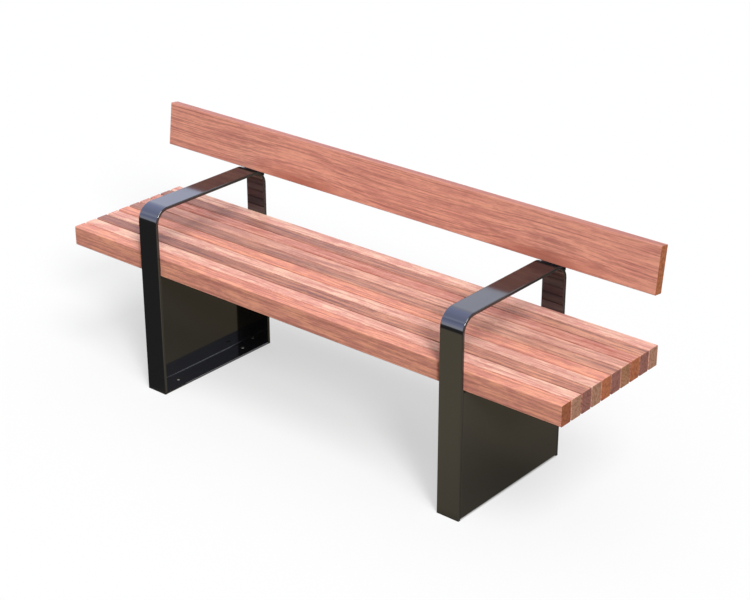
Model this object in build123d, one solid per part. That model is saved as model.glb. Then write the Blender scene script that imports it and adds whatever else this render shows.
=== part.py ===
from build123d import *
import os
from math import cos, radians, sin

# Public seat: hardwood battens and a leaning hardwood back board, carried by two end frames of bent flat bar.
# X runs along the seat, Y from front to back, Z up. The origin is on the ground, under the middle of the seat.
# All sizes are in millimetres and degrees.

# Seat battens
seat_length = 1800
seat_height = 450
batten_width = 40
batten_height = 60
batten_gap = 5
batten_count = 10
timber_edge_radius = 3

# Frame bars: front leg, armrest and rear leg bent from one flat bar
frame_spacing = 1120
bar_width = 75
bar_thickness = 10
bend_inner_radius = 40
armrest_rise = 150
seat_side_clearance = 0.5
steel_edge_chamfer = 1

# End panels: sheet folded inwards at the foot and at the head
sheet_thickness = 5
fold_inner_radius = 3
anchor_hole_diameter = 13
anchor_hole_spacing = 285
drain_hole_diameter = 10
drain_hole_inset = 10

# Back board and the leaning flat-bar brackets behind it
board_height = 135
board_thickness = 30
board_lean = 7
board_rise = 4
board_setback = 45
bracket_thickness = 10
bracket_corner_radius = 6
bracket_seat_gap = 0.3

# Wood screws and washers
screw_diameter = 8
seat_screw_bite = 40
seat_head_across_flats = 13
seat_head_height = 5.5
back_screw_bite = 18
back_screw_spacing = 60
back_screw_inset = 15
back_screw_end_margin = 18
back_head_diameter = 14
back_head_height = 4.4
back_head_chamfer = 2.5
back_socket_across_flats = 5
back_socket_depth = 2.5
washer_diameter = 16
washer_thickness = 1.6
washer_clearance = 0.2
pilot_clearance = 0.3
pilot_extra_depth = 1
steel_hole_clearance = 0.5

# Levels and depths that follow from these
seat_depth = batten_count * batten_width + (batten_count - 1) * batten_gap
seat_underside = seat_height - batten_height
armrest_height = seat_height + armrest_rise
bend_outer_radius = bend_inner_radius + bar_thickness
fold_outer_radius = fold_inner_radius + sheet_thickness
leg_inner_y = seat_depth / 2 + seat_side_clearance
leg_outer_y = leg_inner_y + bar_thickness
sides = {"left": -1, "right": 1}

# The board's back face: local X along the seat, local Y up the leaning face, local Z towards the sitter
lean_across = cos(radians(board_lean))
lean_down = sin(radians(board_lean))
board_foot_y = leg_outer_y - board_setback + board_thickness * lean_across
board_foot_z = armrest_height + board_rise - board_thickness * lean_down
board_back = Plane(
    origin=(0, board_foot_y, board_foot_z),
    x_dir=(1, 0, 0),
    z_dir=(0, -lean_across, lean_down),
)


def frame_x(side):
    """Middle of one end frame along the seat."""
    return side * frame_spacing / 2


def batten_y(index):
    """Middle of one batten, counted from the front."""
    return (index + 0.5) * batten_width + index * batten_gap - seat_depth / 2


def back_screw_places(side):
    """Centres of one bracket's screws, on the board's back face."""
    across = bar_width / 2 - back_screw_inset
    return [
        Pos(frame_x(side) + dx, board_height / 2 + dy, 0)
        for dx in (-across, across)
        for dy in (-back_screw_spacing / 2, back_screw_spacing / 2)
    ]


def rod(diameter, length):
    """Upright round bar that starts at its local origin."""
    return Cylinder(diameter / 2, length, align=(Align.CENTER, Align.CENTER, Align.MIN))


def ease_timber(plank):
    """Round a plank's long edges."""
    return fillet(plank.edges().filter_by(Axis.X), timber_edge_radius)


def seat_batten(index):
    """One seat batten, with a pilot hole from below over each end frame."""
    blank = Box(seat_length, batten_width, batten_height, align=(Align.CENTER, Align.CENTER, Align.MAX))
    batten = Pos(0, batten_y(index), seat_height) * ease_timber(blank)
    pilot = rod(screw_diameter + 2 * pilot_clearance, seat_screw_bite + pilot_extra_depth)
    for side in sides.values():
        batten -= Pos(frame_x(side), batten_y(index), seat_underside) * pilot
    return batten


def backrest_board():
    """The leaning back board, with pilot holes from behind for both brackets."""
    blank = Box(seat_length, board_height, board_thickness, align=(Align.CENTER, Align.MIN, Align.MIN))
    board = board_back * ease_timber(blank)
    pilot = rod(screw_diameter + 2 * pilot_clearance, back_screw_bite + pilot_extra_depth)
    for side in sides.values():
        for place in back_screw_places(side):
            board -= board_back * place * pilot
    return board


def frame_bar(side):
    """Front leg, armrest and rear leg: one flat bar with two bends, standing on its two ends."""
    armrest_underside = armrest_height - bar_thickness
    outside = FilletPolyline(
        (-leg_outer_y, 0),
        (-leg_outer_y, armrest_height),
        (leg_outer_y, armrest_height),
        (leg_outer_y, 0),
        radius=bend_outer_radius,
    )
    inside = FilletPolyline(
        (-leg_inner_y, 0),
        (-leg_inner_y, armrest_underside),
        (leg_inner_y, armrest_underside),
        (leg_inner_y, 0),
        radius=bend_inner_radius,
    )
    front_foot = Line(outside @ 0, inside @ 0)
    rear_foot = Line(outside @ 1, inside @ 1)
    loop = make_face([outside, inside, front_foot, rear_foot])
    bar = extrude(Plane.YZ.offset(frame_x(side)) * loop, amount=bar_width / 2, both=True)
    return chamfer(bar.faces().filter_by(Axis.X).edges(), steel_edge_chamfer)


def end_panel(side):
    """Folded sheet between the legs: a base flange on the ground, a web, and a head flange under the seat."""
    web_face = frame_x(side) + side * bar_width / 2
    web_back = web_face - side * sheet_thickness
    lip = frame_x(side) - side * bar_width / 2
    outside = FilletPolyline(
        (lip, 0),
        (web_face, 0),
        (web_face, seat_underside),
        (lip, seat_underside),
        radius=fold_outer_radius,
    )
    inside = FilletPolyline(
        (lip, sheet_thickness),
        (web_back, sheet_thickness),
        (web_back, seat_underside - sheet_thickness),
        (lip, seat_underside - sheet_thickness),
        radius=fold_inner_radius,
    )
    base_lip = Line(outside @ 0, inside @ 0)
    head_lip = Line(outside @ 1, inside @ 1)
    section = make_face([outside, inside, base_lip, head_lip])
    panel = extrude(Plane.XZ * section, amount=leg_inner_y, both=True)
    outward = Axis((0, 0, 0), (side, 0, 0))
    lip_edges = panel.edges().filter_by(Axis.Y).group_by(outward)[0]
    weld_edges = panel.edges().filter_by(Axis.Z).group_by(outward)[-1]
    panel = chamfer(lip_edges + weld_edges, steel_edge_chamfer)

    anchor_hole = rod(anchor_hole_diameter, sheet_thickness)
    drain_hole = rod(drain_hole_diameter, sheet_thickness)
    drain_x = web_back - side * drain_hole_inset
    drain_y = leg_inner_y - drain_hole_inset
    for end in (-1, 1):
        panel -= Pos(frame_x(side), end * anchor_hole_spacing / 2, 0) * anchor_hole
        panel -= Pos(drain_x, end * drain_y, 0) * drain_hole

    screw_hole = rod(screw_diameter + 2 * steel_hole_clearance, sheet_thickness)
    for index in range(batten_count):
        panel -= Pos(frame_x(side), batten_y(index), seat_underside - sheet_thickness) * screw_hole
    return panel


def back_bracket(side):
    """Flat bar behind the board, leaning with it, its foot coped to sit on the frame bar's rear bend."""
    bend_y = leg_outer_y - bend_outer_radius
    bend_z = armrest_height - bend_outer_radius
    top = board_height / 2 + back_screw_spacing / 2 + back_screw_end_margin
    bottom = (bend_z - board_foot_z) / lean_across
    blank = Box(
        bar_width,
        top - bottom,
        bracket_thickness,
        align=(Align.CENTER, Align.MIN, Align.MAX),
    )
    top_corners = blank.edges().filter_by(Axis.Z).group_by(Axis.Y)[-1]
    blank = fillet(top_corners, bracket_corner_radius)
    bracket = board_back * Pos(frame_x(side), bottom, 0) * blank
    bend = Cylinder(bend_outer_radius + bracket_seat_gap, bar_width)
    bracket -= Pos(frame_x(side), bend_y, bend_z) * Rot(0, 90, 0) * bend

    screw_hole = rod(screw_diameter + 2 * steel_hole_clearance, bracket_thickness)
    for place in back_screw_places(side):
        bracket -= board_back * place * Pos(0, 0, -bracket_thickness) * screw_hole
    return bracket


def wood_screw(head, grip, bite):
    """A wood screw that points up, with its head's seat at the local origin and its shank left plain."""
    return head + rod(screw_diameter, grip + bite)


def washer():
    """A flat washer that lies on its local origin."""
    bore = rod(screw_diameter + 2 * washer_clearance, washer_thickness)
    return rod(washer_diameter, washer_thickness) - bore


def seat_screws(side):
    """Hex-head screws up through the head flange, one into each batten."""
    hexagon = RegularPolygon(seat_head_across_flats / 2, side_count=6, major_radius=False)
    head = Pos(0, 0, -seat_head_height) * extrude(hexagon, amount=seat_head_height)
    screw = wood_screw(head, washer_thickness + sheet_thickness, seat_screw_bite)
    seat_z = seat_underside - sheet_thickness - washer_thickness
    return [Pos(frame_x(side), batten_y(index), seat_z) * screw for index in range(batten_count)]


def seat_washers(side):
    """The washers between the seat screws' heads and the head flange."""
    washer_z = seat_underside - sheet_thickness - washer_thickness
    return [Pos(frame_x(side), batten_y(index), washer_z) * washer() for index in range(batten_count)]


def back_screws(side):
    """Button-head screws from behind, through the bracket into the board."""
    head = Pos(0, 0, -back_head_height) * rod(back_head_diameter, back_head_height)
    head = chamfer(head.edges().group_by(Axis.Z)[0], back_head_chamfer)
    hexagon = RegularPolygon(back_socket_across_flats / 2, side_count=6, major_radius=False)
    head -= Pos(0, 0, -back_head_height) * extrude(hexagon, amount=back_socket_depth)
    grip = washer_thickness + bracket_thickness
    screw = wood_screw(head, grip, back_screw_bite)
    return [board_back * place * Pos(0, 0, -grip) * screw for place in back_screw_places(side)]


def back_washers(side):
    """The washers between the back screws' heads and the bracket."""
    grip = washer_thickness + bracket_thickness
    return [board_back * place * Pos(0, 0, -grip) * washer() for place in back_screw_places(side)]


nodes = {f"seat_batten_{index + 1:02d}": seat_batten(index) for index in range(batten_count)}
nodes["backrest_board"] = backrest_board()
for name, side in sides.items():
    nodes[f"{name}_frame_bar"] = frame_bar(side)
    nodes[f"{name}_end_panel"] = end_panel(side)
    nodes[f"{name}_back_bracket"] = back_bracket(side)
    nodes[f"{name}_seat_screws"] = Compound(children=seat_screws(side))
    nodes[f"{name}_seat_washers"] = Compound(children=seat_washers(side))
    nodes[f"{name}_back_screws"] = Compound(children=back_screws(side))
    nodes[f"{name}_back_washers"] = Compound(children=back_washers(side))

os.makedirs("parts", exist_ok=True)
for name, shape in nodes.items():
    export_step(shape, f"parts/{name}.step")
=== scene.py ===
import math

import bpy
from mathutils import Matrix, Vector


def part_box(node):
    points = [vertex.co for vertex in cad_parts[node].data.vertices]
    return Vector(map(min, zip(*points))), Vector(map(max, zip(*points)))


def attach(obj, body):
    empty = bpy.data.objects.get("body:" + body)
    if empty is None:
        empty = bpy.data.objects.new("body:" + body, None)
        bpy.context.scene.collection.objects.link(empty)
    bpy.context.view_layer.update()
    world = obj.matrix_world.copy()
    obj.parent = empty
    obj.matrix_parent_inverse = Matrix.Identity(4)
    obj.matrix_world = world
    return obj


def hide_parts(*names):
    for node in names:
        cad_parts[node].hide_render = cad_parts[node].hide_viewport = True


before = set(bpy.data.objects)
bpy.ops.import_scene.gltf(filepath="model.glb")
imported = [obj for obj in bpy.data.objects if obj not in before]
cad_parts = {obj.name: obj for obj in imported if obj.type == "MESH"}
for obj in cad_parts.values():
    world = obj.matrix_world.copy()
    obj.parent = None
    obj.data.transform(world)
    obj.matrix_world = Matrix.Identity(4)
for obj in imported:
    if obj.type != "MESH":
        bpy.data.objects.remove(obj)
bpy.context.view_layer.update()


# End frames. Each is one flat steel bar, bent twice into front leg, armrest and rear leg, with broken edges
# and a coat of gloss black powder. It stands on its two sawn ends.
sides = ("left", "right")
bar_thickness = 0.010
bar_bend_radius = 0.040
bar_bend_steps = 48
bar_edge_radius = 0.003
bar_edge_steps = 5
bar_thin_from = 0.0026
bar_thin_to = 0.0010
soft_crease = math.radians(35)
coat_black = (0.0110, 0.0110, 0.0122, 1)
coat_thin = (0.018, 0.0175, 0.017, 1)
coat_index = 1.8
coat_roughness = 0.06
coat_uneven = 0.05
coat_edge_dull = 0.05
peel_scale = 380.0
peel_depth = 0.000002
smear_scale = 14.0
smear_stretch = (1, 1, 0.4)


class Signal:
    """One output in a node tree. Arithmetic on it adds Math nodes, and node() adds any other kind."""

    def __init__(self, tree, socket=None):
        self.tree = tree
        self.socket = socket

    @staticmethod
    def pin(sockets, key):
        """A socket by its index, its identifier or its name."""
        if isinstance(key, int):
            return sockets[key]
        return next((socket for socket in sockets if socket.identifier == key), None) or sockets[key]

    def node(self, kind, settings=None, sockets=None, out=0):
        """Add a node, with its settings first and then the values or links of its sockets."""
        added = self.tree.nodes.new(kind)
        for name, value in (settings or {}).items():
            setattr(added, name, value)
        for key, value in (sockets or {}).items():
            socket = self.pin(added.inputs, key)
            for one in value if isinstance(value, list) else [value]:
                if isinstance(one, Signal):
                    self.tree.links.new(one.socket, socket)
                else:
                    socket.default_value = one
        return Signal(self.tree, self.pin(added.outputs, out) if added.outputs else None)

    def __getitem__(self, name):
        return Signal(self.tree, self.pin(self.socket.node.outputs, name))

    def math(self, operation, *values):
        """Add a Math node."""
        return self.node("ShaderNodeMath", {"operation": operation}, dict(enumerate(values)))

    def __add__(self, other):
        return self.math("ADD", self, other)

    __radd__ = __add__

    def __sub__(self, other):
        return self.math("SUBTRACT", self, other)

    def __rsub__(self, other):
        return self.math("SUBTRACT", other, self)

    def __mul__(self, other):
        return self.math("MULTIPLY", self, other)

    __rmul__ = __mul__

    def __truediv__(self, other):
        return self.math("DIVIDE", self, other)

    def __pow__(self, other):
        return self.math("POWER", self, other)

    def __gt__(self, other):
        return self.math("GREATER_THAN", self, other)

    def __lt__(self, other):
        return self.math("LESS_THAN", self, other)

    def __abs__(self):
        return self.math("ABSOLUTE", self)

    def ramp(self, low, high):
        """Rise smoothly from 0 at low to 1 at high, and stay there."""
        sockets = {"Value": self, "From Min": low, "From Max": high}
        return self.node("ShaderNodeMapRange", {"interpolation_type": "SMOOTHSTEP"}, sockets, out="Result")

    def blend(self, low, high):
        """A colour that is low where this is 0 and high where it is 1."""
        sockets = {"Factor_Float": self, "A_Color": low, "B_Color": high}
        return self.node("ShaderNodeMix", {"data_type": "RGBA"}, sockets, out="Result_Color")

    def stretched(self, *scales):
        """This place, stretched by a factor along each axis."""
        return self.node("ShaderNodeVectorMath", {"operation": "MULTIPLY"}, {0: self, 1: scales})

    def noise(self, scale, detail=2.0, roughness=0.5):
        """Noise at this place, about 0 to 1."""
        sockets = {"Vector": self, "Scale": scale, "Detail": detail, "Roughness": roughness}
        return self.node("ShaderNodeTexNoise", {}, sockets, out="Fac")


def open_finish(name):
    """A new material without nodes, and the place on the piece that its nodes start from."""
    material = bpy.data.materials.new(name)
    material.use_nodes = True
    material.node_tree.nodes.clear()
    return material, Signal(material.node_tree).node("ShaderNodeTexCoord", out="Object")


def close_finish(place, height, depth, sockets):
    """End a material in its shader, with a bump of that depth in metres."""
    normal = place.node("ShaderNodeBump", {}, {"Height": height, "Distance": depth, "Strength": 1.0})
    shader = place.node("ShaderNodeBsdfPrincipled", {}, {**sockets, "Normal": normal})
    place.node("ShaderNodeOutputMaterial", {}, {"Surface": shader})


def gloss_coat(name, edge_from, edge_to):
    """Gloss black powder coat: faint orange peel, uneven gloss, and a thinner film on the bar's edges."""
    material, place = open_finish(name)
    across = abs(abs(place.node("ShaderNodeSeparateXYZ", {}, {"Vector": place})["X"]) - frame_x)
    edge = across.ramp(edge_from, edge_to)
    peel = place.noise(peel_scale, detail=1.0)
    smear = place.stretched(*smear_stretch).noise(smear_scale, detail=4.0, roughness=0.6)
    close_finish(place, peel, peel_depth, {
        "Base Color": edge.blend(coat_black, coat_thin),
        "Roughness": coat_roughness + coat_uneven * smear + coat_edge_dull * edge,
        "IOR": coat_index,
    })
    return material


def open_tree(name, **inputs):
    """A new Geometry Nodes tree with named inputs, and the signal that they start from."""
    tree = bpy.data.node_groups.new(name, "GeometryNodeTree")
    tree.is_modifier = True
    tree.interface.new_socket("Geometry", in_out="OUTPUT", socket_type="NodeSocketGeometry")
    for label, kind in inputs.items():
        tree.interface.new_socket(label, in_out="INPUT", socket_type="NodeSocket" + kind)
    return tree, Signal(tree).node("NodeGroupInput")


def close_tree(shape, finish, crease):
    """End a tree in real geometry of one finish, smooth but for edges sharper than the crease angle."""
    shape = shape.node("GeometryNodeRealizeInstances", {}, {"Geometry": shape})
    shape = shape.node("GeometryNodeSetShadeSmooth", {"domain": "FACE"}, {"Geometry": shape})
    bend = shape.node("GeometryNodeInputMeshEdgeAngle", {}, {}, out="Unsigned Angle")
    shape = shape.node("GeometryNodeSetShadeSmooth", {"domain": "EDGE"}, {
        "Geometry": shape, "Shade Smooth": bend < crease,
    })
    shape = shape.node("GeometryNodeSetMaterial", {}, {"Geometry": shape, "Material": finish})
    shape.node("NodeGroupOutput", {}, {"Geometry": shape})


def made_piece(name, tree, inputs, modifiers, slot, *replaced):
    """Run a tree and these modifiers, and keep the result as a plain mesh in place of CAD nodes."""
    piece = bpy.data.objects.new(name, bpy.data.meshes.new(name))
    bpy.context.scene.collection.objects.link(piece)
    shape = piece.modifiers.new("shape", "NODES")
    shape.node_group = tree
    for item in tree.interface.items_tree:
        if item.in_out == "INPUT":
            shape[item.identifier] = inputs[item.name]
    for kind, settings in modifiers.items():
        modifier = piece.modifiers.new(kind.lower(), kind)
        for setting, value in settings.items():
            setattr(modifier, setting, value)
    evaluated = piece.evaluated_get(bpy.context.evaluated_depsgraph_get())
    mesh = bpy.data.meshes.new_from_object(evaluated)
    piece.modifiers.clear()
    piece.data = mesh
    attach(piece, "root")
    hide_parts(*replaced)


bar_low, bar_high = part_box("right_frame_bar")
bar_width = bar_high.x - bar_low.x
frame_x = (bar_high.x + bar_low.x) / 2
bar_coat = gloss_coat("bar_coat", bar_width / 2 - bar_thin_from, bar_width / 2 - bar_thin_to)

bar_tree, size = open_tree(
    "bent_bar", Depth="Float", Height="Float", Width="Float", Thickness="Float", Bend="Float", Edge="Float",
    Place="Vector", Finish="Material",
)
leg_y = (size["Depth"] - size["Thickness"]) / 2
armrest_z = size["Height"] - size["Thickness"] / 2
corners = [(-1 * leg_y, 0.0), (-1 * leg_y, armrest_z), (leg_y, armrest_z), (leg_y, 0.0)]
path = size.node("GeometryNodeCurvePrimitiveQuadrilateral", {"mode": "POINTS"}, {
    f"Point {number}": size.node("ShaderNodeCombineXYZ", {}, {"Y": y, "Z": z})
    for number, (y, z) in enumerate(corners, 1)
})
path = size.node("GeometryNodeSetSplineCyclic", {}, {"Geometry": path, "Cyclic": False})
path = size.node("GeometryNodeFilletCurve", {"mode": "POLY"}, {
    "Curve": path, "Count": bar_bend_steps, "Radius": size["Bend"] + size["Thickness"] / 2,
})
section = size.node("GeometryNodeCurvePrimitiveQuadrilateral", {"mode": "RECTANGLE"}, {
    "Width": size["Width"], "Height": size["Thickness"],
})
section = size.node("GeometryNodeFilletCurve", {"mode": "POLY"}, {
    "Curve": section, "Count": bar_edge_steps, "Radius": size["Edge"],
})
bar = size.node("GeometryNodeCurveToMesh", {}, {"Curve": path, "Profile Curve": section, "Fill Caps": True})
bar = size.node("GeometryNodeTransform", {}, {"Geometry": bar, "Translation": size["Place"]})
close_tree(bar, size["Finish"], soft_crease)

for side in sides:
    low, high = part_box(f"{side}_frame_bar")
    made_piece(
        f"{side}_bent_bar",
        bar_tree,
        {
            "Depth": high.y - low.y,
            "Height": high.z - low.z,
            "Width": bar_width,
            "Thickness": bar_thickness,
            "Bend": bar_bend_radius,
            "Edge": bar_edge_radius,
            "Place": ((low.x + high.x) / 2, (low.y + high.y) / 2, low.z),
            "Finish": bar_coat,
        },
        {"WEIGHTED_NORMAL": {"keep_sharp": True}},
        "black_powder_coat",
        f"{side}_frame_bar",
    )


# End panels. Sheet steel, folded inwards at the foot into a base with anchor and drain holes, and at the head
# into a flange that carries the battens. They are welded between the legs and coated with them.
sheet_thin_from = 0.0004
sheet_thin_to = 0.0001
sheet_coat = gloss_coat("sheet_coat", bar_width / 2 - sheet_thin_from, bar_width / 2 - sheet_thin_to)


def coat_sheet(node):
    """Give a CAD node the sheet's coat."""
    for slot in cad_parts[node].material_slots:
        slot.material = sheet_coat


for side in sides:
    coat_sheet(f"{side}_end_panel")


# Seat battens. Ten planed hardwood battens lie lengthwise with narrow gaps, long edges rounded and sawn ends
# eased, and are screwed on from below. They come from several trees, so salmon, pale, red and mauve-brown
# timber lie side by side.
timber_edge_radius = 0.003
timber_end_radius = 0.0012
timber_edge_steps = 4
long_edge = 0.5
timber_index = 1.45
timber_shine = 0.2
timber_roughness = 0.46
fibre_roughness = 0.16
sawn_roughness = 0.18
timber_bump = 0.0002
fibre_relief = 0.6
pore_relief = 0.5
ring_relief = 0.3
no_crease = math.pi
arris_reach = 0.004
arris_wear = 0.25

# Where each plank lies in its log: the heart's distance and turn, the place along it, the rings' bow and sway
heart_distance = 0.07
golden_turn = math.radians(137.5)
batten_arch = 0.006
log_step = 3.7
swell_rate = 7.06
swell_start = -24.83
swell_step = 2.4
bow_fade = 0.6
ring_sway = 0.020

# Marks of the grain: how many a metre along, across and through the plank, and at which noise each shows
sway_scale = (2.2, 8, 8)
patch_scale = (12.0, 60, 45)
patch_cut = (0.44, 0.57)
streak_scale = (3.2, 95, 75)
streak_cut = (0.49, 0.38)
ring_scale = (2.2, 200, 100)
ring_cut = (0.50, 0.38)
fibre_scale = (6, 200, 200)
fibre_light_cut = (0.52, 0.64)
fibre_dark_cut = (0.48, 0.36)
fleck_scale = (40, 240, 240)
fleck_light_cut = (0.54, 0.66)
fleck_dark_cut = (0.46, 0.34)
fleck_share = 0.45
pore_scale = (60, 1100, 1100)
pore_cut = (0.60, 0.72)
pore_share = 0.15
mottle_scale = 110.0
sawn_streaks = 0.4
sawn_rings = 0.6
sawn_mottle = 0.7
sawn_cut = (0.34, 0.60)
sawn_share = 0.6
core_ragged = 0.5
core_cut = (-0.12, -0.42)
left_from = 0.35
core_red = (0.430, 0.130, 0.085, 1)

# Colours of each tone, and how strongly each mark shows on it; a low figure makes the marks longer
batten_tones = ("salmon", "pale", "mauve", "pale", "salmon", "tan", "cream", "red", "mauve", "pale")
plain_marks = {"left": 0.0, "edge": 0.0, "core": 0.0, "figure": 1.0}
timber_tones = {
    "salmon": {
        "dark": (0.494, 0.184, 0.144, 1),
        "body": (0.728, 0.301, 0.233, 1),
        "light": (0.933, 0.428, 0.281, 1),
        "end": (0.384, 0.135, 0.065, 1),
        "end_dark": (0.250, 0.076, 0.036, 1),
        "patches": 0.9, "streaks": 0.7, "rings": 0.55, "fibre": 0.7,
    },
    "pale": {
        "dark": (0.578, 0.232, 0.192, 1),
        "body": (0.801, 0.387, 0.314, 1),
        "light": (0.975, 0.622, 0.476, 1),
        "end": (0.404, 0.219, 0.148, 1),
        "end_dark": (0.275, 0.135, 0.082, 1),
        "patches": 1.0, "streaks": 0.75, "rings": 0.4, "fibre": 0.7,
    },
    "cream": {
        "dark": (0.461, 0.205, 0.174, 1),
        "body": (0.696, 0.342, 0.266, 1),
        "light": (0.887, 0.495, 0.362, 1),
        "end": (0.367, 0.185, 0.103, 1),
        "end_dark": (0.246, 0.115, 0.059, 1),
        "patches": 1.0, "streaks": 0.9, "rings": 0.4, "fibre": 0.7,
        "left": 0.35,
    },
    "red": {
        "dark": (0.444, 0.115, 0.072, 1),
        "body": (0.603, 0.256, 0.207, 1),
        "light": (0.752, 0.377, 0.291, 1),
        "end": (0.418, 0.148, 0.070, 1),
        "end_dark": (0.271, 0.085, 0.040, 1),
        "patches": 0.9, "streaks": 0.7, "rings": 0.5, "fibre": 0.7,
    },
    "tan": {
        "dark": (0.274, 0.130, 0.111, 1),
        "body": (0.550, 0.248, 0.182, 1),
        "light": (0.749, 0.381, 0.265, 1),
        "end": (0.291, 0.129, 0.103, 1),
        "end_dark": (0.191, 0.075, 0.059, 1),
        "patches": 1.0, "streaks": 0.8, "rings": 0.6, "fibre": 0.7,
        "left": 0.45, "figure": 0.4,
    },
    "mauve": {
        "dark": (0.216, 0.102, 0.094, 1),
        "body": (0.510, 0.221, 0.164, 1),
        "light": (0.765, 0.363, 0.242, 1),
        "end": (0.291, 0.129, 0.103, 1),
        "end_dark": (0.191, 0.075, 0.059, 1),
        "patches": 1.0, "streaks": 0.85, "rings": 0.6, "fibre": 0.7,
        "left": 0.5, "figure": 0.4,
    },
    "orange": {
        "dark": (0.420, 0.153, 0.126, 1),
        "body": (0.735, 0.315, 0.240, 1),
        "light": (0.945, 0.460, 0.315, 1),
        "end": (0.424, 0.154, 0.072, 1),
        "end_dark": (0.276, 0.087, 0.038, 1),
        "patches": 0.5, "streaks": 0.5, "rings": 0.6, "fibre": 0.55,
        "edge": 0.64, "core": 0.8, "figure": 0.45,
    },
}

# Battens that differ a little from the others of their tone
batten_changes = {
    1: {"end": (0.322, 0.112, 0.054, 1), "end_dark": (0.210, 0.063, 0.030, 1)},
    4: {
        "dark": (0.550, 0.222, 0.184, 1),
        "body": (0.762, 0.370, 0.301, 1),
        "light": (0.950, 0.596, 0.456, 1),
    },
    5: {"end": (0.434, 0.156, 0.075, 1), "end_dark": (0.282, 0.088, 0.042, 1)},
}


def hardwood(name, tone, number, size, centre, lean, heart, arch):
    """Oiled hardwood: rings round a heart that bows along the plank, streaks, patches, fibres and pores."""
    colour = {**plain_marks, **timber_tones[tone], **batten_changes.get(number, {})}
    half = size / 2
    log_place = log_step * number
    material, place = open_finish(name)
    place = place.node("ShaderNodeMapping", {"vector_type": "TEXTURE"}, {
        "Vector": place, "Location": centre, "Rotation": (lean, 0, 0),
    })
    parts = place.node("ShaderNodeSeparateXYZ", {}, {"Vector": place})
    x, y, z = parts["X"], parts["Y"], parts["Z"]
    shifted = place.node("ShaderNodeVectorMath", {"operation": "ADD"}, {0: place, 1: (log_place, 0, 0)})

    sway = shifted.stretched(*sway_scale).noise(1.0)
    swell = 0.5 + 0.5 * place.math("SINE", swell_rate * x + (swell_start + swell_step * number))
    bow = arch * swell * swell * (bow_fade - z / size.z)
    from_heart_y = y - heart[0]
    from_heart_z = z - heart[1] - bow
    radius = (from_heart_y * from_heart_y + from_heart_z * from_heart_z) ** 0.5 + ring_sway * sway
    along = shifted.node("ShaderNodeCombineXYZ", {}, {
        "X": colour["figure"] * (x + log_place), "Y": radius, "Z": y + z,
    })
    patches = along.stretched(*patch_scale).noise(1.0, detail=4.0, roughness=0.6)
    streaks = along.stretched(*streak_scale).noise(1.0, detail=4.0, roughness=0.6)
    rings = along.stretched(*ring_scale).noise(1.0, roughness=0.6)
    fibre = shifted.stretched(*fibre_scale).noise(1.0, detail=4.0, roughness=0.7)
    flecks = shifted.stretched(*fleck_scale).noise(1.0, roughness=0.6)
    pores = shifted.stretched(*pore_scale).noise(1.0, detail=1.0).ramp(*pore_cut)
    mottle = shifted.noise(mottle_scale, detail=3.0, roughness=0.6)

    wood = (colour["patches"] * patches.ramp(*patch_cut)).blend(colour["body"], colour["light"])
    wood = (colour["streaks"] * streaks.ramp(*streak_cut)).blend(wood, colour["dark"])
    wood = (colour["rings"] * rings.ramp(*ring_cut)).blend(wood, colour["dark"])
    wood = (colour["fibre"] * fibre.ramp(*fibre_light_cut)).blend(wood, colour["light"])
    dark_fibre = colour["fibre"] * fibre.ramp(*fibre_dark_cut)
    wood = (dark_fibre + pore_share * pores).blend(wood, colour["dark"])
    wood = (fleck_share * colour["fibre"] * flecks.ramp(*fleck_light_cut)).blend(wood, colour["light"])
    wood = (fleck_share * colour["fibre"] * flecks.ramp(*fleck_dark_cut)).blend(wood, colour["dark"])
    if colour["core"]:
        core = swell * swell * swell * (z / size.z + core_ragged * (patches - 0.5)).ramp(*core_cut)
        wood = (colour["core"] * core).blend(wood, core_red)
    if colour["left"]:
        wood = (colour["left"] * x.ramp(left_from * size.x, -half.x)).blend(wood, colour["dark"])
    wood = (colour["edge"] * z.ramp(half.z - arris_reach, half.z)).blend(wood, colour["dark"])
    arris = abs(y).ramp(half.y - arris_reach, half.y) * abs(z).ramp(half.z - arris_reach, half.z)
    wood = (arris_wear * arris).blend(wood, colour["light"])
    sawn = (sawn_streaks * streaks + sawn_rings * rings + sawn_mottle * (mottle - 0.5)).ramp(*sawn_cut)
    sawn = sawn.blend(colour["end_dark"], colour["end"])
    end = abs(x).ramp(half.x - timber_end_radius, half.x - sawn_share * timber_end_radius)

    relief = fibre_relief * fibre - pore_relief * pores + ring_relief * rings
    close_finish(place, relief, timber_bump, {
        "Base Color": end.blend(wood, sawn),
        "Roughness": timber_roughness + fibre_roughness * fibre + sawn_roughness * end,
        "IOR": timber_index,
        "Specular IOR Level": timber_shine,
    })
    return material


plank_tree, size = open_tree(
    "plank", Size="Vector", Centre="Vector", Lean="Vector", EndShare="Float", Finish="Material",
)
plank = size.node("GeometryNodeMeshCube", {}, {"Size": size["Size"]})
edge_ends = size.node("GeometryNodeInputMeshEdgeVertices", {}, {}, out="Position 1")
edge_run = size.node("ShaderNodeVectorMath", {"operation": "SUBTRACT"}, {
    0: edge_ends, 1: edge_ends["Position 2"],
})
runs_along = abs(size.node("ShaderNodeSeparateXYZ", {}, {"Vector": edge_run})["X"]) > long_edge
plank = size.node("GeometryNodeStoreNamedAttribute", {"data_type": "FLOAT", "domain": "EDGE"}, {
    "Geometry": plank,
    "Name": "bevel_weight_edge",
    "Value": runs_along * (1 - size["EndShare"]) + size["EndShare"],
})
plank = size.node("GeometryNodeTransform", {}, {
    "Geometry": plank, "Rotation": size["Lean"], "Translation": size["Centre"],
})
close_tree(plank, size["Finish"], no_crease)


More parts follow.
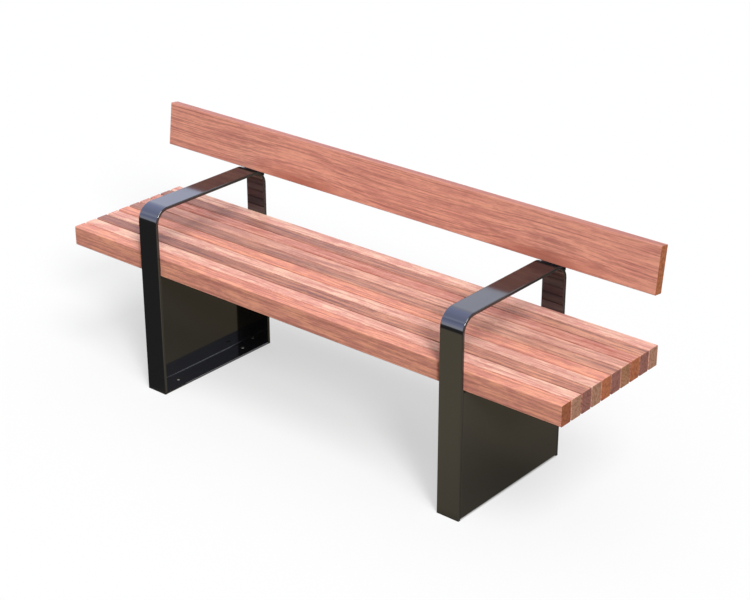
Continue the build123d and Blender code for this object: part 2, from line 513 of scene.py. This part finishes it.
def made_plank(name, node, tone, number, plank_size, lean, heart, arch):
    """One rounded plank, centred where its CAD node is."""
    low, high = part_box(node)
    centre = (low + high) / 2
    inputs = {
        "Size": plank_size,
        "Centre": centre,
        "Lean": (lean, 0, 0),
        "EndShare": timber_end_radius / timber_edge_radius,
        "Finish": hardwood(f"{name}_timber", tone, number, plank_size, centre, lean, heart, arch),
    }
    bevel = {
        "limit_method": "WEIGHT",
        "width": timber_edge_radius,
        "segments": timber_edge_steps,
        "harden_normals": True,
    }
    made_piece(name, plank_tree, inputs, {"BEVEL": bevel}, "hardwood", node)


for number, tone in enumerate(batten_tones, 1):
    node = f"seat_batten_{number:02d}"
    low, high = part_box(node)
    turn = number * golden_turn
    heart = (heart_distance * math.cos(turn), heart_distance * math.sin(turn))
    made_plank(f"batten_{number:02d}", node, tone, number, high - low, 0.0, heart, batten_arch)


# Seat screws and washers. A stainless hex-head wood screw with a flat washer holds each batten from below at
# each frame, through the head flange. The heads are forged with a chamfered rim, and the threads are rolled.
screw_diameter = 0.008
screw_core_diameter = 0.0058
screw_pitch = 0.0035
screw_point = 0.006
screw_tip_radius = 0.0003
shank_sides = 24
thread_steps = 16
ridge_sides = 3
round_sides = 48
hex_sides = 6
seat_head_flats = 0.013
seat_head_height = 0.0055
seat_head_rim = 0.475 * seat_head_flats
seat_screw_bite = 0.040
washer_diameter = 0.016
washer_bore = 0.0084
washer_thickness = 0.0016
washer_edge_radius = 0.0002
washer_edge_steps = 2
batten_pitch = 0.045
flange_thickness = 0.005
steel_dark = (0.46, 0.45, 0.43, 1)
steel_light = (0.64, 0.63, 0.61, 1)
steel_roughness = 0.26
steel_uneven = 0.16
steel_smear_scale = 120.0
turning_scale = 900.0
turning_stretch = (1, 1, 6)
turning_depth = 0.000006


def stainless(name):
    """Plain stainless steel: fine turning marks and a dull, slightly uneven shine."""
    material, place = open_finish(name)
    marks = place.stretched(*turning_stretch).noise(turning_scale)
    smear = place.noise(steel_smear_scale, detail=3.0)
    close_finish(place, marks, turning_depth, {
        "Base Color": smear.blend(steel_dark, steel_light),
        "Metallic": 1.0,
        "Roughness": steel_roughness + steel_uneven * smear,
    })
    return material


def lifted(shape, height):
    """This shape, moved up."""
    place = shape.node("ShaderNodeCombineXYZ", {}, {"Z": height})
    return shape.node("GeometryNodeTransform", {}, {"Geometry": shape, "Translation": place})


def upright_bar(size, side_count, radius, depth, foot):
    """A round or six-sided bar that stands on a height."""
    stock = size.node("GeometryNodeMeshCylinder", {}, {
        "Vertices": side_count, "Radius": radius, "Depth": depth,
    })
    return lifted(stock, foot + depth / 2)


def boolean(operation, *shapes):
    """What shapes have in common, or the first of them less the others."""
    settings = {"operation": operation, "solver": "EXACT"}
    if operation == "DIFFERENCE":
        sockets = {"Mesh 1": shapes[0], "Mesh 2": list(shapes[1:])}
    else:
        sockets = {"Mesh 2": list(shapes)}
    return shapes[0].node("GeometryNodeMeshBoolean", settings, sockets, out="Mesh")


def threaded_shank(size):
    """Neck, core, thread and point of a wood screw that points up from its head's seat."""
    reach = size["Grip"] + size["Bite"]
    core_radius = screw_core_diameter / 2
    core_length = size["Bite"] - screw_point
    neck = upright_bar(size, shank_sides, screw_diameter / 2, size["Grip"], 0.0)
    core = upright_bar(size, shank_sides, core_radius, core_length, size["Grip"])
    point = size.node("GeometryNodeMeshCone", {}, {
        "Vertices": shank_sides,
        "Radius Bottom": core_radius,
        "Radius Top": screw_tip_radius,
        "Depth": screw_point,
    })
    point = lifted(point, reach - screw_point)
    helix = size.node("GeometryNodeCurveSpiral", {}, {
        "Resolution": thread_steps,
        "Rotations": core_length / screw_pitch,
        "Start Radius": core_radius,
        "End Radius": core_radius,
        "Height": core_length,
    })
    ridge = size.node("GeometryNodeCurvePrimitiveCircle", {"mode": "RADIUS"}, {
        "Resolution": ridge_sides, "Radius": (screw_diameter - screw_core_diameter) / 2,
    })
    thread = size.node("GeometryNodeCurveToMesh", {}, {
        "Curve": helix, "Profile Curve": ridge, "Fill Caps": True,
    })
    return [neck, core, point, lifted(thread, size["Grip"])]


def flat_washer(size):
    """A flat washer that lies on its local origin."""
    rim = size.node("GeometryNodeCurvePrimitiveCircle", {"mode": "RADIUS"}, {
        "Resolution": round_sides, "Radius": (washer_diameter + washer_bore) / 4,
    })
    section = size.node("GeometryNodeCurvePrimitiveQuadrilateral", {"mode": "RECTANGLE"}, {
        "Width": (washer_diameter - washer_bore) / 2, "Height": washer_thickness,
    })
    section = size.node("GeometryNodeFilletCurve", {"mode": "POLY"}, {
        "Curve": section, "Count": washer_edge_steps, "Radius": washer_edge_radius,
    })
    ring = size.node("GeometryNodeCurveToMesh", {}, {"Curve": rim, "Profile Curve": section})
    return lifted(ring, washer_thickness / 2)


def joined(shapes):
    """Several shapes as one."""
    return shapes[0].node("GeometryNodeJoinGeometry", {}, {"Geometry": shapes})


def seat_spread(size, fastener):
    """One fastener under each batten at each frame."""
    grid = size.node("GeometryNodeMeshGrid", {}, {
        "Size X": size["Frames"],
        "Size Y": size["Depth"],
        "Vertices X": len(sides),
        "Vertices Y": size["Battens"],
    }, out="Mesh")
    spread = size.node("GeometryNodeInstanceOnPoints", {}, {"Points": grid, "Instance": fastener})
    return size.node("GeometryNodeTransform", {}, {"Geometry": spread, "Translation": size["Place"]})


fastener_steel = stainless("fastener_steel")
seat_inputs = {
    "Grip": flange_thickness + washer_thickness,
    "Bite": seat_screw_bite,
    "Frames": 2 * frame_x,
    "Depth": (len(batten_tones) - 1) * batten_pitch,
    "Battens": len(batten_tones),
    "Finish": fastener_steel,
}
seat_kinds = {
    "Grip": "Float", "Bite": "Float", "Frames": "Float", "Depth": "Float", "Battens": "Int",
    "Place": "Vector", "Finish": "Material",
}
washer_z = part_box("seat_batten_01")[0].z - flange_thickness - washer_thickness

screw_tree, size = open_tree("seat_screws", **seat_kinds)
prism = upright_bar(size, hex_sides, seat_head_flats / math.sqrt(3), seat_head_height, -seat_head_height)
chamfer = size.node("GeometryNodeMeshCone", {}, {
    "Vertices": round_sides,
    "Radius Bottom": seat_head_rim,
    "Radius Top": seat_head_rim + seat_head_height * math.sqrt(3),
    "Depth": seat_head_height,
})
head = boolean("INTERSECT", prism, lifted(chamfer, -seat_head_height))
close_tree(seat_spread(size, joined([head, *threaded_shank(size)])), size["Finish"], soft_crease)
made_piece(
    "seat_screws", screw_tree, {**seat_inputs, "Place": (0, 0, washer_z)}, {}, "stainless_fastener",
    "left_seat_screws", "right_seat_screws",
)

washer_tree, size = open_tree("seat_washers", **seat_kinds)
close_tree(seat_spread(size, flat_washer(size)), size["Finish"], soft_crease)
made_piece(
    "seat_washers", washer_tree, {**seat_inputs, "Place": (0, 0, washer_z)}, {}, "stainless_fastener",
    "left_seat_washers", "right_seat_washers",
)


# Back brackets. Flat bar behind the board, leaning with it, with rounded top corners. The foot is coped onto
# the rear bend and welded there, and the coat goes over both.
for side in sides:
    coat_sheet(f"{side}_back_bracket")


# Back board. One wide hardwood board, planed and eased like the battens, leans back against its two brackets
# and is screwed on from behind. Its grain arches along the face, as in a board sawn from a bowed log.
board_height = 0.135
board_thickness = 0.030
board_lean = math.radians(7)
board_heart = (0.02, -0.085)
board_arch = 0.036
board_number = 12
board_low, board_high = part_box("backrest_board")
board_centre = (board_low + board_high) / 2
board_size = Vector((board_high.x - board_low.x, board_thickness, board_height))
made_plank(
    "back_board", "backrest_board", "orange", board_number, board_size, -board_lean, board_heart, board_arch,
)


# Back screws and washers. Four stainless button-head wood screws, each with a hex socket and a flat washer,
# go through each bracket into the board from behind.
back_head_diameter = 0.014
back_head_height = 0.0044
back_head_rim = 0.0012
back_socket_flats = 0.005
back_socket_depth = 0.0025
back_screw_bite = 0.018
back_screw_across = 0.045
back_screw_up = 0.060
back_screw_columns = 2
back_screw_rows = 2
bracket_thickness = 0.010
back_kinds = {
    "Grip": "Float", "Bite": "Float", "Frames": "Float", "Across": "Float", "Up": "Float",
    "Turn": "Vector", "Place": "Vector", "Finish": "Material",
}
towards_back = Vector((0, math.cos(board_lean), -math.sin(board_lean)))
back_inputs = {
    "Grip": washer_thickness + bracket_thickness,
    "Bite": back_screw_bite,
    "Frames": 2 * frame_x,
    "Across": back_screw_across,
    "Up": back_screw_up,
    "Turn": (math.pi / 2 - board_lean, 0, 0),
    "Place": board_centre + towards_back * (board_thickness / 2 + bracket_thickness + washer_thickness),
    "Finish": fastener_steel,
}


def back_spread(size, fastener):
    """Four fasteners on each bracket, turned to lean with the board."""
    corners = size.node("GeometryNodeMeshGrid", {}, {
        "Size X": size["Across"],
        "Size Y": size["Up"],
        "Vertices X": back_screw_columns,
        "Vertices Y": back_screw_rows,
    }, out="Mesh")
    four = size.node("GeometryNodeInstanceOnPoints", {}, {"Points": corners, "Instance": fastener})
    first = size.node("ShaderNodeCombineXYZ", {}, {"X": size["Frames"] / -2})
    step = size.node("ShaderNodeCombineXYZ", {}, {"X": size["Frames"]})
    ends = size.node("GeometryNodeMeshLine", {"mode": "OFFSET"}, {
        "Count": len(sides), "Start Location": first, "Offset": step,
    })
    spread = size.node("GeometryNodeInstanceOnPoints", {}, {"Points": ends, "Instance": four})
    return size.node("GeometryNodeTransform", {}, {
        "Geometry": spread, "Rotation": size["Turn"], "Translation": size["Place"],
    })


button_tree, size = open_tree("back_screws", **back_kinds)
button_rise = back_head_height - back_head_rim
button_radius = ((back_head_diameter / 2) ** 2 + button_rise ** 2) / (2 * button_rise)
blank = upright_bar(size, round_sides, back_head_diameter / 2, back_head_height, -back_head_height)
ball = size.node("GeometryNodeMeshUVSphere", {}, {
    "Segments": round_sides, "Rings": round_sides, "Radius": button_radius,
})
button = boolean("INTERSECT", blank, lifted(ball, button_radius - back_head_height))
socket_radius = back_socket_flats / math.sqrt(3)
socket_foot = -back_head_height - back_socket_depth
socket = upright_bar(size, hex_sides, socket_radius, 2 * back_socket_depth, socket_foot)
button = boolean("DIFFERENCE", button, socket)
close_tree(back_spread(size, joined([button, *threaded_shank(size)])), size["Finish"], soft_crease)
made_piece(
    "back_screws", button_tree, back_inputs, {}, "stainless_fastener",
    "left_back_screws", "right_back_screws",
)

ring_tree, size = open_tree("back_washers", **back_kinds)
close_tree(back_spread(size, flat_washer(size)), size["Finish"], soft_crease)
made_piece(
    "back_washers", ring_tree, back_inputs, {}, "stainless_fastener",
    "left_back_washers", "right_back_washers",
)


# Stage. A plain white floor, see-through from below, under a pale dome that is brightest overhead, with a low
# and a high soft lamp on the right. Under the steel flanges the floor's white lift is cut, as painted shade.
# The gloss of the coat sees a blue sky on the left and a gleam behind on the right. It sees the floor as a
# warm grey with a painted glow, painted dark far off and in front of the left leg as painted shade.
plain_white = (1, 1, 1, 1)
floor_reach = 40.0
floor_drop = 0.0004
floor_white = (0.389, 0.389, 0.389, 1)
floor_bounce = (0.165, 0.150, 0.118, 1)
floor_lift = 0.553
# Share of the floor's white lift taken away under the steel flanges, as painted shade
flange_shade = 0.6
# The floor as the gloss sees it is painted: a warm grey with a stepped glow, dark far off and in front of the
# left leg
gloss_reach = (2.0, 1.2)
gloss_shade_x = (-0.3, -0.6)
gloss_shade_y = (-0.20, -0.25)
gloss_level = 0.50
gloss_steps = (
    {"along": "X", "change": -0.37, "start": 0.20, "end": 0.60},
    {"along": "X", "change": 0.16, "start": 0.65, "end": 1.05},
    {"along": "Y", "change": 0.75, "start": -0.20, "end": -0.27},
    {"along": "Y", "change": 0.21, "start": 0.06, "end": 0.24},
)
painted_gloss_floor = (0.138, 0.120, 0.085, 1)
painted_gloss_shade = (0.052, 0.052, 0.052, 1)
painted_gloss_glow = (0.345, 0.292, 0.195, 1)
dome_tint = (0.985, 1.0, 1.02, 1)
dome_low = 0.144
dome_rise = 0.385
dome_rise_z = (0.26, 1.0)
sky_left = (1.32, 1.48, 2.32, 1)
sky_haze = (1.95, 2.05, 2.50, 1)
sky_dim = (0.62, 0.72, 1.30, 1)
sky_back = (1.64, 1.75, 2.26, 1)
sky_right = (0.50, 0.53, 0.66, 1)
sky_gleam = (2.2, 2.25, 2.4, 1)
gleam_towards = (0.42, 0.70, 0.58)
gleam_cut = (0.985, 0.995)
sky_bands = {
    "haze": {"share": 0.6, "rise": (-0.62, -0.57), "fall": (-0.48, -0.55)},
    "front_dim": {"share": 0.5, "rise": (-0.76, -0.68), "fall": (-0.58, -0.66)},
    "middle_dim": {"share": 0.2, "rise": (-0.53, -0.40), "fall": (-0.02, -0.30)},
}
haze_z = (0.30, 0.18)
left_sky_x = (-0.20, -0.48)
back_sky_x = (-0.25, -0.80)
back_sky_y = (0.30, 0.62)
horizon_z = (-0.02, 0.05)
left_half_x = (0.25, -0.15)
lamps = {
    "low_lamp": {"azimuth": 56, "elevation": 31, "across": 13, "level": 0.635},
    "high_lamp": {"azimuth": 60, "elevation": 56, "across": 28, "level": 0.552},
}
camera_target = Vector((0.0004, 0.1334, 0.3434))
camera_azimuth = math.radians(39.98)
camera_elevation = math.radians(24.93)
camera_distance = 5.1
camera_lens = 83.62
camera_sensor = 36.0


def direction(azimuth, elevation):
    """Unit vector from the seat towards a place round it; azimuth 0 is in front of it."""
    return Vector((
        math.sin(azimuth) * math.cos(elevation),
        -math.cos(azimuth) * math.cos(elevation),
        math.sin(elevation),
    ))


floor_paint, place = open_finish("floor_white")
rays = place.node("ShaderNodeLightPath", {}, {}, out="Is Camera Ray")
gloss = rays["Is Glossy Ray"]
parts = place.node("ShaderNodeSeparateXYZ", {}, {"Vector": place})
x, y = parts["X"], parts["Y"]
near = ((x * x + y * y) ** 0.5).ramp(*gloss_reach)
# Painted reflection: where the gloss sees the floor lit, and where painted shade darkens it
painted_gloss_light = near * (1 - x.ramp(*gloss_shade_x) * y.ramp(*gloss_shade_y))
# Painted shade: the floor's white lift is cut under the steel flanges, where the ground lies in shade
painted_shade_under_flanges = (abs(abs(x) - frame_x) < bar_width / 2) * (abs(y) < bar_high.y)
in_gloss = painted_gloss_light.blend(painted_gloss_shade, painted_gloss_floor)
matt = place.node("ShaderNodeBsdfDiffuse", {}, {
    "Color": gloss.blend(rays.blend(floor_bounce, floor_white), in_gloss),
})
seen_lift = floor_lift * (1 - flange_shade * painted_shade_under_flanges) * (rays + rays["Is Transmission Ray"])
# Painted glow of the floor as the gloss sees it, stepped along x and y
painted_glow_strength = gloss_level
for step in gloss_steps:
    painted_glow_strength += step["change"] * parts[step["along"]].ramp(step["start"], step["end"])
lift = place.node("ShaderNodeEmission", {}, {
    "Color": gloss.blend(plain_white, painted_gloss_glow), "Strength": seen_lift + gloss * painted_gloss_light * painted_glow_strength,
})
painted = place.node("ShaderNodeAddShader", {}, {0: matt, 1: lift})
below = place.node("ShaderNodeNewGeometry", {}, {}, out="Backfacing")
clear = place.node("ShaderNodeBsdfTransparent")
place.node("ShaderNodeOutputMaterial", {}, {
    "Surface": place.node("ShaderNodeMixShader", {}, {0: below, 1: painted, 2: clear}),
})
floor_corners = [
    (-floor_reach, -floor_reach, -floor_drop),
    (floor_reach, -floor_reach, -floor_drop),
    (floor_reach, floor_reach, -floor_drop),
    (-floor_reach, floor_reach, -floor_drop),
]
floor_mesh = bpy.data.meshes.new("floor")
floor_mesh.from_pydata(floor_corners, [], [(0, 1, 2, 3)])
floor_mesh.materials.append(floor_paint)
floor = bpy.data.objects.new("floor", floor_mesh)
bpy.context.scene.collection.objects.link(floor)

dome = bpy.data.worlds.new("dome")
dome.use_nodes = True
dome.node_tree.nodes.clear()
towards = Signal(dome.node_tree).node("ShaderNodeTexCoord", out="Generated")
rays = towards.node("ShaderNodeLightPath", {}, {}, out="Is Camera Ray")
parts = towards.node("ShaderNodeSeparateXYZ", {}, {"Vector": towards})
x, y, z = parts["X"], parts["Y"], parts["Z"]
fill = towards.node("ShaderNodeBackground", {}, {
    "Color": dome_tint, "Strength": dome_low + dome_rise * z.ramp(*dome_rise_z),
})
bands = {
    name: band["share"] * y.ramp(*band["rise"]) * y.ramp(*band["fall"]) for name, band in sky_bands.items()
}
low_sky = (z.ramp(*haze_z) + bands["haze"]).blend(sky_left, sky_haze)
banded_sky = (bands["front_dim"] + bands["middle_dim"]).blend(low_sky, sky_dim)
left_sky = x.ramp(*left_sky_x).blend(plain_white, banded_sky)
back_sky = x.ramp(*back_sky_x).blend(plain_white, sky_back)
left_half = y.ramp(*back_sky_y).blend(left_sky, back_sky)
left_half = z.ramp(*horizon_z).blend(plain_white, left_half)
in_gloss = x.ramp(*left_half_x).blend(sky_right, left_half)
gleam = towards.node("ShaderNodeVectorMath", {"operation": "DOT_PRODUCT"}, {
    0: towards, 1: gleam_towards,
}, out="Value").ramp(*gleam_cut)
in_gloss = gleam.blend(in_gloss, sky_gleam)
shown = towards.node("ShaderNodeBackground", {}, {
    "Color": rays["Is Glossy Ray"].blend(plain_white, in_gloss), "Strength": 1.0,
})
sky = towards.node("ShaderNodeMixShader", {}, {
    0: rays + rays["Is Glossy Ray"] + rays["Is Transmission Ray"], 1: fill, 2: shown,
})
towards.node("ShaderNodeOutputWorld", {}, {"Surface": sky})
bpy.context.scene.world = dome

for name, setting in lamps.items():
    light = bpy.data.lights.new(name, "SUN")
    light.energy = math.pi * setting["level"]
    light.angle = math.radians(setting["across"])
    towards = direction(math.radians(setting["azimuth"]), math.radians(setting["elevation"]))
    lamp = bpy.data.objects.new(name, light)
    lamp.rotation_euler = towards.to_track_quat("Z", "Y").to_euler()
    bpy.context.scene.collection.objects.link(lamp)

lens = bpy.data.cameras.new("camera")
lens.lens = camera_lens
lens.sensor_width = camera_sensor
camera = bpy.data.objects.new("camera", lens)
towards = direction(camera_azimuth, camera_elevation)
camera.location = camera_target + towards * camera_distance
camera.rotation_euler = towards.to_track_quat("Z", "Y").to_euler()
bpy.context.scene.collection.objects.link(camera)
bpy.context.scene.camera = camera
bpy.context.scene.view_settings.view_transform = "Standard"
